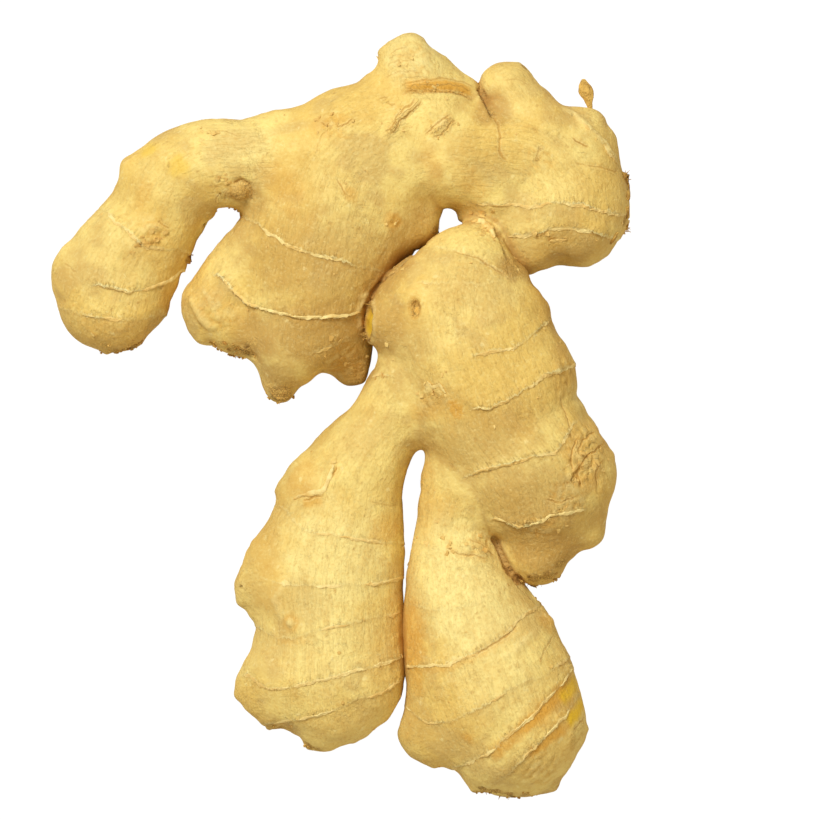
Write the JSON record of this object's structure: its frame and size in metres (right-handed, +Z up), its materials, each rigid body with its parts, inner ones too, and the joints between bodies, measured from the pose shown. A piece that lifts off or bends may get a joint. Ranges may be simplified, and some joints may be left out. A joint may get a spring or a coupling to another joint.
{
  "type": "ginger root",
  "caption": "Fresh ginger rhizome lying flat: an upper and a lower hand of knobbly ringed fingers with papery tan skin, for kitchen and market scenes.",
  "frame": {"origin": "under the middle of the bounding box, on the surface that the root lies on", "axes": "+Y along the root's longest extent, from the free ends of the lower fingers to the upper hand; +X across, towards the short right-hand lobe; +Z up from the surface, its shortest extent"},
  "size_m": [0.14, 0.1837, 0.0385],
  "materials": {
    "ginger_skin": "matte, thin papery skin with fine fibres"
  },
  "bodies": {
    "root": {"ginger_root": "ginger_skin"}
  },
  "joints": []
}
